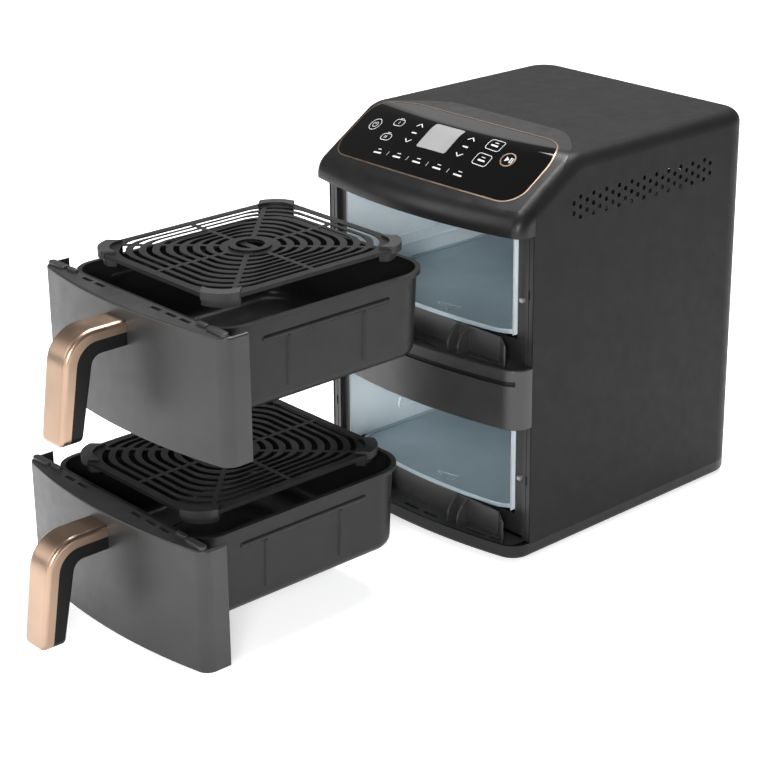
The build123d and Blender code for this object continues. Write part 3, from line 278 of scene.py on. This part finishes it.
FINISHES = {
    "shell_charcoal": moulded("shell_charcoal", 0.011, 0.5, grain=0.00004, specular=0.12),
    "rear_black": moulded("rear_black", 0.020, 0.45, wear_and_highlight=0.3),
    "frame_grey": moulded("frame_grey", 0.022, 0.36),
    "head_black": moulded("head_black", 0.008, 0.36, grain=0.000015, specular=0.3),
    "base_dark": moulded("base_dark", 0.010, 0.4, specular=0.25),
    "foot_rubber": moulded("foot_rubber", 0.012, 0.85, grain=0.00008, wear_and_highlight=0.2),
    "liner_steel": sheet_metal(
        "liner_steel", (0.80, 0.88, 0.92), 0.36, brush=(1, 0.06, 1), metallic=0.1
    ),
    "rim_steel": sheet_metal("rim_steel", (0.72, 0.76, 0.78), 0.3),
    "guard_steel": sheet_metal("guard_steel", (0.42, 0.43, 0.45), 0.38, brush=(0.1, 1, 1)),
    "screw_steel": sheet_metal("screw_steel", (0.55, 0.55, 0.56), 0.3),
    "heater_steel": sheet_metal("heater_steel", (0.16, 0.13, 0.12), 0.45),
    "fan_aluminium": sheet_metal("fan_aluminium", (0.6, 0.6, 0.62), 0.32, brush=(1, 1, 0.1)),
    "motor_steel": sheet_metal("motor_steel", (0.30, 0.30, 0.31), 0.42, brush=(0.2, 6, 0.2)),
    "switch_black": gloss("switch_black", 0.006, roughness=0.38, coat=0.0, specular=0.15),
    "plunger_white": moulded("plunger_white", 0.30, 0.45),
    "panel_gloss": gloss("panel_gloss", 0.003, coat=0.0, specular=0.25),
    "rose_gold": rose_gold(),
    "board_green": gloss("board_green", 0.10, roughness=0.3, coat=0.2, tint=(0.25, 1.0, 0.4)),
    "component_dark": moulded("component_dark", 0.03, 0.4),
    "drawer_satin": moulded("drawer_satin", 0.026, 0.36, specular=0.35),
    "pan_coating": moulded(
        "pan_coating", 0.009, 0.40, grain=0.00005, grain_scale=2600, specular=0.22, wear_and_highlight=0.6
    ),
    "plate_coating": moulded(
        "plate_coating", 0.006, 0.38, grain=0.00005, grain_scale=2600, specular=0.2, wear_and_highlight=0.4
    ),
    "silicone": moulded("silicone", 0.010, 0.5, grain=0.00002, wear_and_highlight=0.25),
}
DECK_GREY = moulded("deck_grey", 0.045, 0.36)
FLOOR_STEEL = sheet_metal("floor_steel", (0.36, 0.44, 0.48), 0.34, brush=(1, 0.06, 1), metallic=0.25)
MARK_WHITE = moulded("mark_white", 0.50, 0.5, grain=0.00001)
MARK_GREY = moulded("mark_grey", 0.30, 0.35, grain=0.00001)
DISPLAY_GREY = gloss("display_grey", 0.26, roughness=0.22, coat=0.4)

for row in frame["record"]["subparts"]:
    part = nodes[row["node"]]
    for material_slot in part.material_slots:
        material_slot.material = FINISHES[row["material_slot"]]
for level_name in LEVELS:
    for part_name, material in (("deck", DECK_GREY), ("floor_plate", FLOOR_STEEL)):
        for material_slot in nodes[f"{level_name}_{part_name}"].material_slots:
            material_slot.material = material


# ---------------------------------------------------------------- marks on the control panel
MARK_LIFT = 0.12 * MM  # how far a printed mark stands on the gloss
MARK_SUNK = 0.05 * MM
PANEL_TILT = math.radians(21)

panel_low, panel_high = (Vector(corner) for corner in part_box("control_panel"))
panel_centre = (panel_low + panel_high) / 2
panel_centre.x = 0  # the marks are placed from the cabinet's middle
panel_up = Vector((0, math.cos(PANEL_TILT), math.sin(PANEL_TILT)))
panel_out = Vector((0, -math.sin(PANEL_TILT), math.cos(PANEL_TILT)))


def surface_of(*names):
    """Search tree over the meshes of some CAD nodes."""
    points, faces = [], []
    for name in names:
        mesh = nodes[name].data
        start = len(points)
        points += [v.co.copy() for v in mesh.vertices]
        faces += [[start + i for i in polygon.vertices] for polygon in mesh.polygons]
    return BVHTree.FromPolygons(points, faces)


panel_surface = surface_of("control_panel", "start_button_ring")
RAY_START = 0.04  # how far outside the panel a ray starts, in metres


def on_panel(across, up):
    """Point and normal on the panel, from mm across the cabinet's middle and mm up the slope."""
    flat = panel_centre + Vector((across * MM, 0, 0)) + panel_up * up * MM
    spot, normal, _, _ = panel_surface.ray_cast(flat + panel_out * RAY_START, -panel_out)
    if spot is None:
        return flat, panel_out
    if normal.dot(panel_out) < 0:
        normal = -normal
    return spot, normal


def new_piece(name, builder, material, body):
    """Object from a bmesh, riding on a body."""
    bmesh.ops.recalc_face_normals(builder, faces=builder.faces)
    mesh = bpy.data.meshes.new(name)
    builder.to_mesh(mesh)
    builder.free()
    for polygon in mesh.polygons:
        polygon.use_smooth = False
    piece = bpy.data.objects.new(name, mesh)
    bpy.context.scene.collection.objects.link(piece)
    mesh.materials.append(material)
    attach(piece, body)
    return piece


def strip(builder, points, width, closed=False):
    """Flat printed line of a width along points on the panel, as a thin solid."""
    points = resample(points, closed=closed)
    count = len(points)
    rows = []
    for index, point in enumerate(points):
        before = points[index - 1] if index or closed else point
        after = points[(index + 1) % count] if index < count - 1 or closed else point
        along = (Vector(after) - Vector(before)).normalized()
        aside = Vector((-along.y, along.x)) * width / 2
        corners = []
        for sign in (1, -1):
            spot, normal = on_panel(point[0] + sign * aside.x, point[1] + sign * aside.y)
            corners.append(spot + normal * MARK_LIFT)
            corners.append(spot - normal * MARK_SUNK)
        rows.append([builder.verts.new(corner) for corner in corners])
    pairs = list(zip(rows, rows[1:]))
    if closed:
        pairs.append((rows[-1], rows[0]))
    for first, second in pairs:
        for a, b in ((0, 2), (2, 3), (3, 1), (1, 0)):
            builder.faces.new((first[a], first[b], second[b], second[a]))
    if not closed:
        for end in (rows[0], rows[-1]):
            builder.faces.new((end[0], end[2], end[3], end[1]))


def patch(builder, outline, rings=4):
    """Filled mark inside an outline, as a thin solid that follows the panel."""
    outline = resample(outline, closed=True)
    middle = sum((Vector(p) for p in outline), Vector((0, 0))) / len(outline)
    layers = {}
    for side, lift in ((0, MARK_LIFT), (1, -MARK_SUNK)):
        loops = []
        for ring in range(1, rings + 1):
            loop = []
            for point in outline:
                place = middle.lerp(Vector(point), ring / rings)
                spot, normal = on_panel(*place)
                loop.append(builder.verts.new(spot + normal * lift))
            loops.append(loop)
        builder.faces.new(loops[0])
        for inner, outer in zip(loops, loops[1:]):
            for i in range(len(outline)):
                j = (i + 1) % len(outline)
                builder.faces.new((inner[i], inner[j], outer[j], outer[i]))
        layers[side] = loops[-1]
    for i in range(len(outline)):
        j = (i + 1) % len(outline)
        builder.faces.new((layers[0][i], layers[0][j], layers[1][j], layers[1][i]))


def arc(centre, radius, start, end, steps=24):
    """Points of an arc in degrees, without its last point when it closes."""
    full = abs(end - start) >= 360
    count = steps if full else steps + 1
    angles = [math.radians(start + (end - start) * i / steps) for i in range(count)]
    return [(centre[0] + radius * math.cos(a), centre[1] + radius * math.sin(a)) for a in angles]


def rounded_box(centre, width, height, radius, steps=5):
    """Outline of a rounded rectangle."""
    outline = []
    for turn, (sx, sy) in enumerate(((1, 1), (-1, 1), (-1, -1), (1, -1))):
        middle = (centre[0] + sx * (width / 2 - radius), centre[1] + sy * (height / 2 - radius))
        outline += arc(middle, radius, 90 * turn, 90 * turn + 90, steps)
    return outline


def resample(points, step=2.5, closed=False):
    """The same outline with points added, so that no stretch is longer than a step."""
    dense = []
    pairs = list(zip(points, points[1:] + points[:1])) if closed else list(zip(points, points[1:]))
    for first, second in pairs:
        length = math.dist(first, second)
        count = max(1, math.ceil(length / step))
        dense += [tuple(Vector(first).lerp(Vector(second), i / count)) for i in range(count)]
    if not closed:
        dense.append(tuple(points[-1]))
    return dense


# Places and sizes on the panel, in millimetres across from the cabinet's middle and up the slope.
LINE = 0.65
CHEVRON_LINE = 1.1
SEPARATOR_LINE = 0.7
POWER_AT = (-107, 0)
POWER_RING, POWER_ARC, POWER_STEM = 7.4, 3.4, 3.6
BASKET_SIZE = (14, 8.4)
BASKET_ROUND = 3.6
CHEVRON_REACH, CHEVRON_RISE = 4.4, 2
FRAME_SIZE = (18, 14)
FRAME_ROUND = 3
KEY_BAR = (7.0, 1.7)
FRAMED_BARS = ((-1.2, (9, 1.9)), (2.8, (5, 0.8)))  # height on the frame, then size
PROGRAM_BARS = ((-1.6, (11.0, 1.9)), (3.0, (5.0, 0.8)))
SEPARATOR_HALF = 2.6
PAUSE_BARS = (1.9, 4.1)
PAUSE_SIZE = (1.2, 6.0)
SCREEN_ROUND = 2.5
BASKETS_AT = ((-76, 6.8), (-77, -13.5))
LEFT_KEYS_X = -45.5
RIGHT_KEYS_X = 28.0
KEYS_UP, KEYS_DOWN = 9.0, -12.5
SCREEN_AT = (-9.0, 0.5)
SCREEN_SIZE = (41.0, 34.0)
FRAMED_AT = ((58.0, 11.0), (57.5, -9.5))
START_AT = (85.0, 0.3)
PROGRAMS_UP = -33.0
PROGRAMS_X = (-70.0, -41.0, -12.0, 17.0, 46.0)


def power_mark(builder):
    """Ring with an open arc and a short stem inside."""
    strip(builder, arc(POWER_AT, POWER_RING, 0, 360, 40), LINE, closed=True)
    strip(builder, arc(POWER_AT, POWER_ARC, 120, 420, 20), LINE)
    strip(builder, [POWER_AT, (POWER_AT[0], POWER_AT[1] + POWER_STEM)], LINE)


def basket_mark(builder, centre, single):
    """Outline of a basket with its lid, and one or two strokes for its number."""
    x, y = centre
    strip(builder, rounded_box(centre, *BASKET_SIZE, BASKET_ROUND), LINE, closed=True)
    strip(builder, [(x - 2.6, y + 5.8), (x + 2.6, y + 5.8)], LINE)
    strip(builder, [(x, y - 1.8), (x, y + 1.8)], LINE)
    if not single:
        strip(builder, [(x - 2.2, y - 1.8), (x - 2.2, y + 1.8)], LINE)


def chevron(builder, x, y, direction):
    """Arrow head that points up or down the slope."""
    rise = CHEVRON_RISE * direction
    points = [(x - CHEVRON_REACH, y - rise), (x, y + rise), (x + CHEVRON_REACH, y - rise)]
    strip(builder, points, CHEVRON_LINE)


def bar(builder, centre, width, height):
    """Plain bar that stands where a caption would be."""
    patch(builder, rounded_box(centre, width, height, height * 0.3, 2), 2)


def panel_marks():
    """All printed marks and the display window on the gloss panel."""
    marks = bmesh.new()
    power_mark(marks)
    basket_mark(marks, BASKETS_AT[0], True)
    basket_mark(marks, BASKETS_AT[1], False)
    for x in (LEFT_KEYS_X, RIGHT_KEYS_X):
        chevron(marks, x, KEYS_UP, 1)
        chevron(marks, x, KEYS_DOWN, -1)
        bar(marks, (x, (KEYS_UP + KEYS_DOWN) / 2), *KEY_BAR)
    for x, y in FRAMED_AT:
        strip(marks, rounded_box((x, y), *FRAME_SIZE, FRAME_ROUND), LINE, closed=True)
        for up, size in FRAMED_BARS:
            bar(marks, (x, y + up), *size)
    for x in PROGRAMS_X:
        for up, size in PROGRAM_BARS:
            bar(marks, (x, PROGRAMS_UP + up), *size)
    new_piece("panel_marks", marks, MARK_WHITE, "cabinet")

    separators = bmesh.new()
    for first, second in zip(PROGRAMS_X, PROGRAMS_X[1:]):
        middle = (first + second) / 2
        ends = [(middle, PROGRAMS_UP + side * SEPARATOR_HALF) for side in (-1, 1)]
        strip(separators, ends, SEPARATOR_LINE)
    new_piece("panel_separators", separators, MARK_GREY, "cabinet")

    start = bmesh.new()
    x, y = START_AT
    patch(start, [(x - 4.2, y - 3.0), (x - 4.2, y + 3.0), (x + 0.6, y)], 2)
    for shift in PAUSE_BARS:
        bar(start, (x + shift, y), *PAUSE_SIZE)
    new_piece("start_glyph", start, MARK_WHITE, "cabinet")

    screen = bmesh.new()
    patch(screen, rounded_box(SCREEN_AT, *SCREEN_SIZE, SCREEN_ROUND), 8)
    new_piece("display_window", screen, DISPLAY_GREY, "cabinet")


panel_marks()


# ---------------------------------------------------------------- pressed beads and trims
BEAD_SUNK = 0.4 * MM
BEAD_STEPS = 8
END_STEPS = 5  # stations along each round end
SPAN = 6.0  # stations on the straight part are about this far apart, mm
CREST_POWER = 0.8  # under 1, so that the ridge is fuller than a cosine
SMALLEST_REACH = 0.02  # mm, so that an end is narrow but not a single point


def bead(builder, path, width, height, place):
    """Rounded ridge along a straight path, with round ends, on the surface that place gives."""
    start, end = (Vector(p) for p in path)
    length = (end - start).length
    along = (end - start) / length
    aside = Vector((-along.y, along.x))
    half = width / 2
    stations = [half * (1 - math.cos(math.pi * i / (2 * END_STEPS))) for i in range(END_STEPS + 1)]
    middle = max(2, int(length / SPAN))
    inner = [half + (length - 2 * half) * i / middle for i in range(1, middle)]
    stations += inner + [length - d for d in reversed(stations)]
    top, base = [], []
    for distance in stations:
        from_end = min(distance, length - distance)
        reach = half if from_end >= half else math.sqrt(max(0.0, half**2 - (half - from_end) ** 2))
        reach = max(reach, SMALLEST_REACH)
        crest = height * min(1.0, reach / half)
        top_row, base_row = [], []
        for step in range(BEAD_STEPS + 1):
            offset = -1 + 2 * step / BEAD_STEPS
            at = start + along * distance + aside * offset * reach
            spot, normal = place(at.x, at.y)
            profile = math.cos(offset * math.pi / 2) ** CREST_POWER if abs(offset) < 1 else 0
            rise = crest * MM * profile
            top_row.append(builder.verts.new(spot + normal * rise))
            base_row.append(builder.verts.new(spot - normal * BEAD_SUNK))
        top.append(top_row)
        base.append(base_row)
    for i in range(len(top) - 1):
        for j in range(BEAD_STEPS):
            builder.faces.new((top[i][j], top[i][j + 1], top[i + 1][j + 1], top[i + 1][j]))
            builder.faces.new((base[i][j], base[i + 1][j], base[i + 1][j + 1], base[i][j + 1]))
        for j in (0, BEAD_STEPS):
            builder.faces.new((top[i][j], top[i + 1][j], base[i + 1][j], base[i][j]))
    for i in (0, len(top) - 1):
        for j in range(BEAD_STEPS):
            builder.faces.new((top[i][j], base[i][j], base[i][j + 1], top[i][j + 1]))


def smooth(piece, angle=35):
    """Smooth shading that keeps edges sharper than an angle."""
    for polygon in piece.data.polygons:
        polygon.use_smooth = True
    piece.data.set_sharp_from_angle(angle=math.radians(angle))


def wall_place(surface, side, inside, y_zero, z_top, x_far):
    """Place function on a side wall: millimetres back from y_zero and down from z_top."""
    outward = Vector((side, 0, 0))

    def place(back, down):
        y = y_zero + back * MM
        z = z_top - down * MM
        start = Vector((side * x_far, y, z)) if not inside else Vector((0, y, z))
        toward = -outward if not inside else outward
        spot, _, _, _ = surface.ray_cast(start, toward)
        if spot is None:
            spot = Vector((side * x_far, y, z))
        return spot, -toward

    return place


# Ends of the beads, back from the pan's front and down from its rim, then widths and heights, mm.
CHANNEL = ((47, 19), (194, 19))
SHORT_BEADS = (((76, 21), (76, 70)), ((163, 21), (163, 70)))
CHANNEL_SIZE = (6.0, 1.6)
SHORT_SIZE = (4.8, 1.5)
INNER_SIZE = (5.0, 1.0)


def pan_beads(level_name):
    """Pressed channel on both side walls of a pan, and two upright beads on their outside."""
    low, high = (Vector(c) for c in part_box(f"{level_name}_pan"))
    surface = surface_of(f"{level_name}_pan")
    outside, inside = bmesh.new(), bmesh.new()
    for side in (-1, 1):
        outer = wall_place(surface, side, False, low.y, high.z, high.x + 0.02)
        inner = wall_place(surface, side, True, low.y, high.z, high.x)
        bead(outside, CHANNEL, *CHANNEL_SIZE, outer)
        for path in SHORT_BEADS:
            bead(outside, path, *SHORT_SIZE, outer)
        bead(inside, CHANNEL, *INNER_SIZE, inner)
    for name, builder in (("outer_beads", outside), ("inner_beads", inside)):
        full_name = f"{level_name}_pan_{name}"
        body = f"{level_name}_drawer"
        smooth(new_piece(full_name, builder, FINISHES["pan_coating"], body))


def swept_tube(name, points, radius, material, body, closed=False):
    """Round wire along points in metres."""
    curve = bpy.data.curves.new(name, "CURVE")
    curve.dimensions = "3D"
    curve.bevel_depth = radius
    curve.bevel_resolution = 3
    curve.use_fill_caps = True
    spline = curve.splines.new("POLY")
    spline.points.add(len(points) - 1)
    for target, point in zip(spline.points, points):
        target.co = (*point, 1)
    spline.use_cyclic_u = closed
    shape = bpy.data.objects.new(name + "_curve", curve)
    mesh = bpy.data.meshes.new_from_object(shape)
    bpy.data.objects.remove(shape)
    mesh.name = name
    mesh.materials.append(material)
    piece = bpy.data.objects.new(name, mesh)
    bpy.context.scene.collection.objects.link(piece)
    smooth(piece, 50)
    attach(piece, body)
    return piece


LINER_RIM = 0.55 * MM
LINER_CORNER = 4 * MM
LINER_CORNER_STEPS = 6


def liner_rim(level_name):
    """Rolled front rim of a cavity's side walls and roof."""
    low, high = (Vector(c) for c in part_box(f"{level_name}_liner"))
    x = high.x - 0.3 * MM
    y = low.y - 0.4 * MM
    roof = high.z - 0.4 * MM
    corner = LINER_CORNER
    points = [(-x, y, low.z), (-x, y, roof - corner)]
    for step in range(1, LINER_CORNER_STEPS):
        turn = math.pi / 2 * step / LINER_CORNER_STEPS
        points.append((-x + corner * (1 - math.cos(turn)), y, roof - corner * (1 - math.sin(turn))))
    points += [(-x + corner, y, roof)]
    points += [(-px, py, pz) for px, py, pz in reversed(points)]
    swept_tube(
        f"{level_name}_liner_rim", points, LINER_RIM, FINISHES["guard_steel"], "cabinet"
    )


WALL_BEAD_Y = (-88.75, 58.75)
WALL_BEAD_Z = (16.25, 27.75)  # above the liner's underside, mm
WALL_BEAD_ROUND = 3.75
WALL_BEAD_RADIUS = 1.1 * MM
WALL_BEAD_INSET = 1.5 * MM  # in from the side of the liner's box


def wall_beads(level_name):
    """Half-round outline along the pressed channel on both side walls of a cavity."""
    low, high = (Vector(c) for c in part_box(f"{level_name}_liner"))
    centre = (sum(WALL_BEAD_Y) / 2, sum(WALL_BEAD_Z) / 2)
    width = WALL_BEAD_Y[1] - WALL_BEAD_Y[0]
    height = WALL_BEAD_Z[1] - WALL_BEAD_Z[0]
    outline = rounded_box(centre, width, height, WALL_BEAD_ROUND)
    for side, side_name in ((-1, "left"), (1, "right")):
        x = side * (high.x - WALL_BEAD_INSET)
        points = [(x, y * MM, low.z + z * MM) for y, z in outline]
        swept_tube(
            f"{level_name}_{side_name}_wall_bead",
            points,
            WALL_BEAD_RADIUS,
            FINISHES["liner_steel"],
            "cabinet",
            closed=True,
        )


FLOOR_RAY_START = 0.02  # above the plate, in metres


def floor_place(surface, height):
    """Place function on a cavity's floor plate, in millimetres from the cabinet's centre."""

    def place(across, back):
        start = Vector((across * MM, back * MM, height + FLOOR_RAY_START))
        spot, _, _, _ = surface.ray_cast(start, Vector((0, 0, -1)))
        if spot is None:
            spot = Vector((across * MM, back * MM, height))
        return spot, Vector((0, 0, 1))

    return place


FLOOR_MARK_AT = (14.0, -146.0)
FLOOR_MARK_CORNERS = ((-12, 0), (16, 6), (14, -9))
FLOOR_MARK_SIZE = (1.6, 0.5)


def floor_mark(level_name):
    """Small pressed triangle near the front of the floor plate, without lettering."""
    _, high = (Vector(c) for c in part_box(f"{level_name}_floor_plate"))
    place = floor_place(surface_of(f"{level_name}_floor_plate"), high.z)
    builder = bmesh.new()
    corners = [(FLOOR_MARK_AT[0] + x, FLOOR_MARK_AT[1] + y) for x, y in FLOOR_MARK_CORNERS]
    for ends in zip(corners, corners[1:] + corners[:1]):
        bead(builder, ends, *FLOOR_MARK_SIZE, place)
    piece = new_piece(
        f"{level_name}_floor_mark", builder, FINISHES["rim_steel"], "cabinet"
    )
    smooth(piece)


GROOVE_TOP, GROOVE_BOTTOM = 11.5 * MM, 16.5 * MM  # below the band's top
INLAY_THICK = 1.0 * MM
INLAY_SUNK = 0.1 * MM
INLAY_GAP = 0.15 * MM  # above and below, inside the groove
INLAY_HALF = 141.2 * MM
INLAY_STEPS = 90
INLAY_RAY_START = 0.02  # in front of the band, in metres


def band_inlay():
    """Gloss strip that lies in the divider band's groove and follows its bow."""
    low, high = (Vector(c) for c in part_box("divider_band"))
    surface = surface_of("divider_band")
    z_high = high.z - GROOVE_TOP - INLAY_GAP
    z_low = high.z - GROOVE_BOTTOM + INLAY_GAP
    builder = bmesh.new()
    rows = []
    for step in range(INLAY_STEPS + 1):
        x = INLAY_HALF * (2 * step / INLAY_STEPS - 1)
        start = Vector((x, low.y - INLAY_RAY_START, (z_low + z_high) / 2))
        spot, _, _, _ = surface.ray_cast(start, Vector((0, 1, 0)))
        front, back = spot.y - INLAY_THICK, spot.y + INLAY_SUNK
        corners = ((front, z_high), (front, z_low), (back, z_low), (back, z_high))
        rows.append([builder.verts.new((x, y, z)) for y, z in corners])
    for first, second in zip(rows, rows[1:]):
        for i in range(4):
            j = (i + 1) % 4
            builder.faces.new((first[i], first[j], second[j], second[i]))
    builder.faces.new(rows[0])
    builder.faces.new(rows[-1])
    piece = new_piece("band_inlay", builder, FINISHES["switch_black"], "cabinet")
    smooth(piece)


for level_name in LEVELS:
    pan_beads(level_name)
    liner_rim(level_name)
    wall_beads(level_name)
    floor_mark(level_name)
band_inlay()
